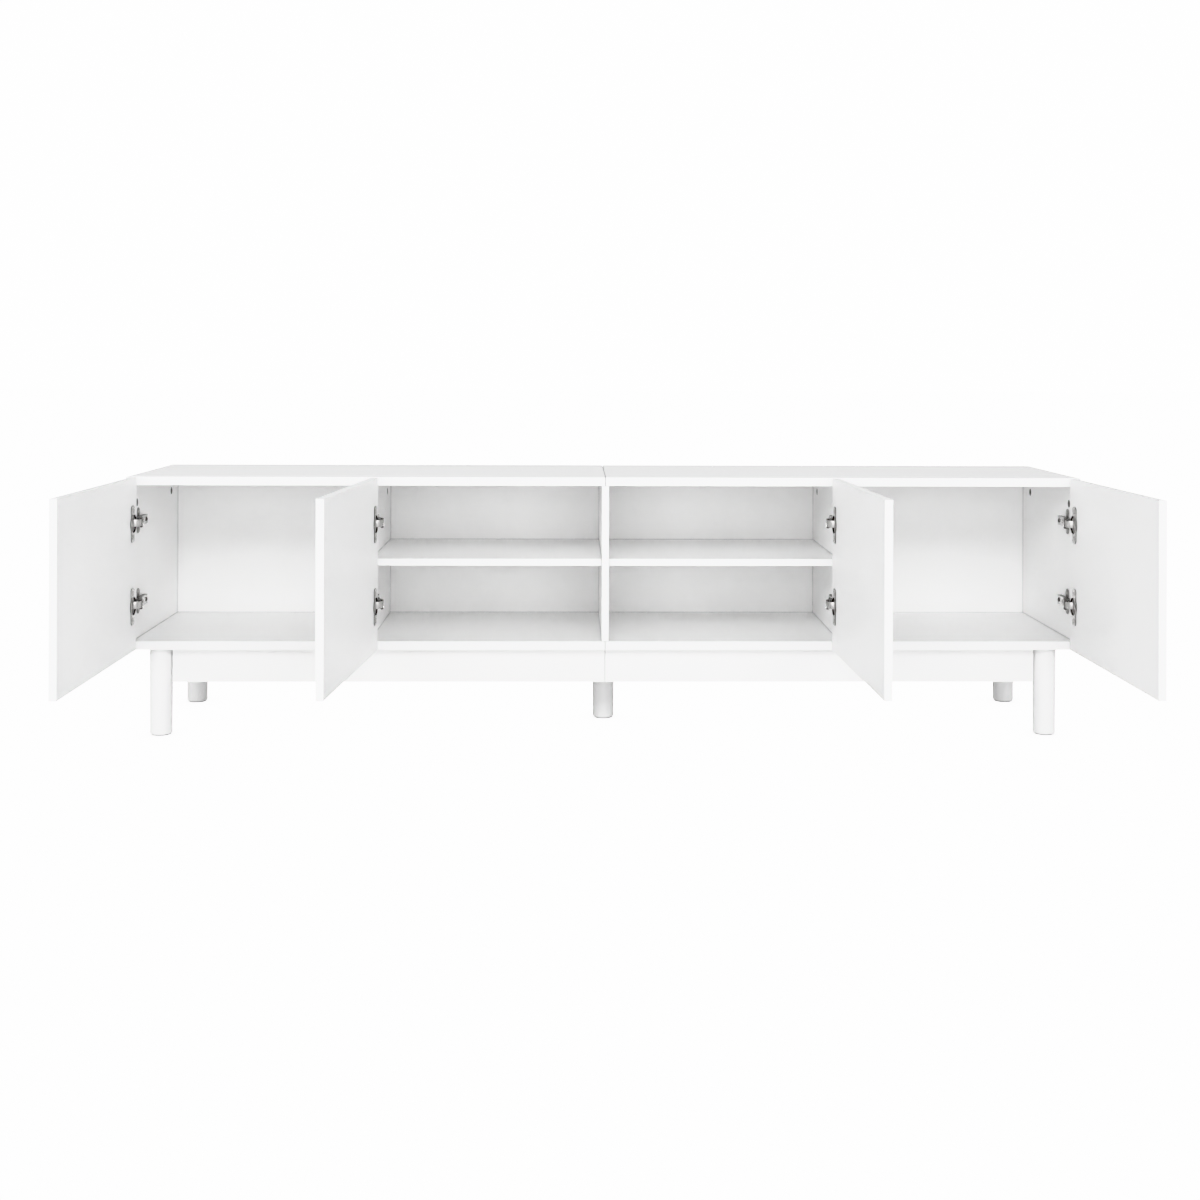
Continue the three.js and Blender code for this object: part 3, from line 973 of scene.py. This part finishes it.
cupMesh = meshFrom("cup_shape", cupShape())
linkMesh = meshFrom("link_shape", linkShape())
armMeshes, plateMeshes = {}, {}
for door in doors:
    hand = handOf(door)
    faceIn = round(boardFaceOf(door), 2)
    if faceIn not in armMeshes:
        armMeshes[faceIn] = meshFrom("arm_shape", armShape(faceIn))
        plateMeshes[faceIn] = meshFrom("plate_shape", plateShape(faceIn))
    for level in levels:
        tag = f"{door}_{level}"
        low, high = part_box("hinge_cup_" + tag)
        z = (low.z + high.z) / 2
        fixed, swung = fixedPlace(door, z), swungPlace(door, z)
        plate = placed(plateMeshes[faceIn], f"plate_{tag}_pressed", fixed, hand, zinc)
        settle(plate, carcass, "hinge_steel", "hinge_plate_" + tag)
        arm = placed(armMeshes[faceIn], f"arm_{tag}_pressed", fixed, hand, nickel, paintedShadeSteel, darkNickelAndPaintedShade)
        settle(arm, carcass, "hinge_steel", "hinge_arm_" + tag)
        cup = placed(cupMesh, f"cup_{tag}_pressed", swung, hand, nickel, paintedShadeSteel, lining, darkNickelAndPaintedShade)
        settle(cup, bodyOf["door_" + door], "hinge_steel", "hinge_cup_" + tag)
        neck = placed(linkMesh, f"link_{tag}_neck", linkPlace(door, z), hand, linkNickel, darkNickelAndPaintedShade)
        settle(neck, bodyOf["hinge_link_" + tag], "hinge_steel", "hinge_link_" + tag)
        hingeScrews(door, fixed, swung, faceIn)
print("hinges done")


def fastenerTree():
    # a domed head with a flat and a cross slot, stood on every point, all in millimetres but the points
    tree = bpy.data.node_groups.new("fasteners", "GeometryNodeTree")
    ports = {}

    def port(label, kind, start=None, way="INPUT"):
        item = tree.interface.new_socket(name=label, in_out=way, socket_type=kind)
        if start is not None:
            item.default_value = start
        ports[label] = item.identifier

    port("Geometry", "NodeSocketGeometry", way="OUTPUT")
    port("Places", "NodeSocketGeometry")
    for label, start in (("Head Radius", 4), ("Dome", 1.5), ("Flat", 1.2), ("Seat", 0.6),
                         ("Slot Length", 5), ("Slot Width", 1), ("Slot Depth", 0.8), ("Unit", mm)):
        port(label, "NodeSocketFloat", start)
    port("Seed", "NodeSocketInt", 3)
    port("Finish", "NodeSocketMaterial")

    make = NodeMaker(tree)
    entry = make.add("NodeGroupInput").socket.node
    given = {socket.name: Wire(make, socket) for socket in entry.outputs if socket.name}
    radius, flat, unit = given["Head Radius"], given["Flat"], given["Unit"]
    length, width, deep = given["Slot Length"], given["Slot Width"], given["Slot Depth"] * 2

    def triple(x, y, z):
        return make.add("ShaderNodeCombineXYZ", {}, {0: x, 1: y, 2: z})

    dome = make.add("GeometryNodeMeshUVSphere", {}, {"Segments": 32, "Rings": 18, "Radius": 1.0})
    head = make.add("GeometryNodeTransform", {}, {
        "Geometry": dome, "Scale": triple(radius, radius, given["Dome"])})
    place = make.add("GeometryNodeInputPosition")
    x, y, z = (make.add("ShaderNodeSeparateXYZ", {}, {0: place}, axis) for axis in range(3))
    capped = z.maths("MINIMUM", z, flat)
    seated = capped.maths("MAXIMUM", capped, given["Seat"] * -1)
    head = make.add("GeometryNodeSetPosition", {}, {"Geometry": head, "Position": triple(x, y, seated)})

    bars = []
    for size in ((length, width, deep), (width, length, deep)):
        bar = make.add("GeometryNodeMeshCube", {}, {"Size": triple(*size)})
        bars.append(make.add("GeometryNodeTransform", {}, {
            "Geometry": bar, "Translation": triple(0.0, 0.0, flat)}))
    cross = make.add("GeometryNodeMeshBoolean", {"operation": "UNION"}, {"Mesh 2": bars})
    head = make.add("GeometryNodeMeshBoolean", {"operation": "DIFFERENCE"}, {
        "Mesh 1": head, "Mesh 2": cross})
    head = make.add("GeometryNodeTransform", {}, {"Geometry": head, "Scale": triple(unit, unit, unit)})

    aim = make.add("GeometryNodeInputNamedAttribute", {"data_type": "FLOAT_VECTOR"}, {"Name": "aim"})
    turn = make.add("FunctionNodeAlignRotationToVector", {"axis": "Z"}, {"Vector": aim})
    # each head is turned by chance: input 3 is the largest turn, output 1 the number
    spin = make.add("FunctionNodeRandomValue", {"data_type": "FLOAT"}, {
        3: quarter, "Seed": given["Seed"]}, 1)
    twist = make.add("FunctionNodeAxisAngleToRotation", {}, {"Axis": (0, 0, 1), "Angle": spin})
    turn = make.add("FunctionNodeRotateRotation", {"rotation_space": "LOCAL"}, {
        "Rotation": turn, "Rotate By": twist})
    heads = make.add("GeometryNodeInstanceOnPoints", {}, {
        "Points": given["Places"], "Instance": head, "Rotation": turn})
    real = make.add("GeometryNodeRealizeInstances", {}, {"Geometry": heads})
    done = make.add("GeometryNodeSetMaterial", {}, {"Geometry": real, "Material": given["Finish"]})
    make.add("NodeGroupOutput", {}, {0: done})
    return tree, ports


fastenerLook = {
    # in millimetres: radius, dome, flat, seat, slot length, slot width, slot depth; then the finish
    "plateScrew": (3.8, 1.6, 1.2, 1.0, 4.6, 1.0, 0.9, screwSteel),
    "cupScrew": (4.0, 1.1, 0.7, 1.0, 4.6, 1.0, 0.6, screwSteel),
    "lockScrew": (4.3, 2.2, 1.6, 1.4, 5.0, 1.2, 1.2, darkNickelAndPaintedShade),
    "adjustScrew": (3.1, 1.2, 0.8, 1.1, 4.0, 1.0, 0.9, screwSteel),
    "camLock": (7.1, 1.2, -0.3, 1.2, 8.6, 1.8, 0.5, camZinc),
}
fastenerLabels = (
    "Head Radius", "Dome", "Flat", "Seat", "Slot Length", "Slot Width", "Slot Depth", "Finish")
tree, ports = fastenerTree()
for (kind, body), places in spots.items():
    mesh = bpy.data.meshes.new(kind)
    mesh.from_pydata([place for place, aim in places], [], [])
    aims = mesh.attributes.new("aim", "FLOAT_VECTOR", "POINT")
    for item, (place, aim) in zip(aims.data, places):
        item.vector = aim
    piece = link(f"{kind}_{body}", mesh)
    modifier = piece.modifiers.new("fasteners", "NODES")
    modifier.node_group = tree
    for label, value in zip(fastenerLabels, fastenerLook[kind]):
        modifier[ports[label]] = value
    modifier[ports["Seed"]] = len(places)
    settle(flattened(piece), body, "hinge_steel")
print("fasteners done")


stageLook = {
    "floorSize": 60, "floorGrey": 0.70, "mottle": 0.01, "mottleScale": 0.6,
    "glowInPaintedShadow": 0.5, "glow": 5.5, "paintedShadowReach": 0.07,      # painted contact shadow: the floor's glow is low this close to a foot
    "backdrop": 9, "room": 0.61, "bounces": 8,
}


white = grey(1)


def studioFloor():
    # a pale matt floor that the camera sees brighter than it lights the cabinet, with a painted contact shadow
    # where its glow drops close under a foot
    material, make = newMaterial("pale_floor")
    where = objectPlace(make)
    mottle = noise(make, where, stageLook["mottleScale"])
    pale = stageLook["floorGrey"]
    matt = make.add("ShaderNodeBsdfDiffuse", {}, {
        "Color": tinted(make, mottle, grey(pale), grey(pale + stageLook["mottle"]))})
    # painted contact shadow: ambient occlusion dims the glow near the cabinet
    paintedShadeOpenness = make.add("ShaderNodeAmbientOcclusion", {}, {"Distance": stageLook["paintedShadowReach"]}, "AO")
    glow = make.add("ShaderNodeEmission", {}, {
        "Color": white, "Strength": stageLook["glowInPaintedShadow"] + stageLook["glow"] * paintedShadeOpenness * paintedShadeOpenness})
    both = make.add("ShaderNodeAddShader", {}, {0: matt, 1: glow})
    ray = make.add("ShaderNodeLightPath")
    mix = make.add("ShaderNodeMixShader", {}, {0: ray, 1: matt, 2: both})
    make.add("ShaderNodeOutputMaterial", {}, {"Surface": mix})
    bm = bmesh.new()
    bmesh.ops.create_grid(bm, x_segments=4, y_segments=4, size=stageLook["floorSize"] / 2)
    floor = link("studio_floor", meshFrom("studio_floor", bm, material))
    floor.location.z = cadBox[0][2]


def softLight(name, turned, raised, size, power):
    # a square lamp that looks at the cabinet's middle
    lamp = bpy.data.lights.new(name, "AREA")
    lamp.shape, lamp.size, lamp.size_y, lamp.energy = "RECTANGLE", size[0], size[1], power
    box = bpy.data.objects.new(name, lamp)
    spin = Matrix.Rotation(math.radians(turned), 4, "Z")
    tilt = Matrix.Rotation(math.radians(90 - raised), 4, "X")
    aim = Vector((0, 0, lightAim["height"]))
    away = Matrix.Translation((0, 0, lightAim["distance"]))
    box.matrix_world = Matrix.Translation(aim) @ spin @ tilt @ away
    bpy.context.scene.collection.objects.link(box)


def studioSky():
    # an even white room
    world = bpy.data.worlds.new("studio")
    world.use_nodes = True
    world.node_tree.nodes.clear()
    make = NodeMaker(world.node_tree)
    ray = make.add("ShaderNodeLightPath")
    seen = make.add("ShaderNodeBackground", {}, {"Color": white, "Strength": stageLook["backdrop"]})
    room = make.add("ShaderNodeBackground", {}, {"Color": white, "Strength": stageLook["room"]})
    mix = make.add("ShaderNodeMixShader", {}, {0: ray, 1: room, 2: seen})
    make.add("ShaderNodeOutputWorld", {}, {"Surface": mix})
    bpy.context.scene.world = world


lightAim = {"height": 0.3, "distance": 5.5}
lightLook = {
    # turned from the front, raised, size, power
    "level": (0, 5, (5, 1.5), 100),
    "high": (0, 30, (5, 1.5), 152),
    "left": (-50, 20, (2.5, 2), 60),
    "right": (50, 20, (2.5, 2), 34),
    "rear": (180, 35, (5, 1.5), 32),
}
cameraLook = {
    "fromCentre": -0.060, "fromFront": 2.999, "aboveTop": 0.229,
    "turn": -0.93, "roll": 0.18, "lens": 47.77, "sensor": 36, "lower": -0.2034,
}


def camera():
    look = cameraLook
    lens = bpy.data.cameras.new("camera")
    lens.lens, lens.sensor_width, lens.sensor_height = look["lens"], look["sensor"], look["sensor"]
    lens.shift_y = look["lower"]
    view = bpy.data.objects.new("camera", lens)
    place = Matrix.Translation((look["fromCentre"], frontY - look["fromFront"], topZ + look["aboveTop"]))
    turn = Matrix.Rotation(math.radians(look["turn"]), 4, "Z")
    level = Matrix.Rotation(math.radians(90), 4, "X")
    roll = Matrix.Rotation(math.radians(look["roll"]), 4, "Z")
    view.matrix_world = place @ turn @ level @ roll
    bpy.context.scene.collection.objects.link(view)
    bpy.context.scene.camera = view


studioFloor()
studioSky()
for name, values in lightLook.items():
    softLight(name, *values)
camera()
bpy.context.scene.view_settings.view_transform = "Khronos PBR Neutral"
bpy.context.scene.cycles.diffuse_bounces = stageLook["bounces"]
print("stage done")
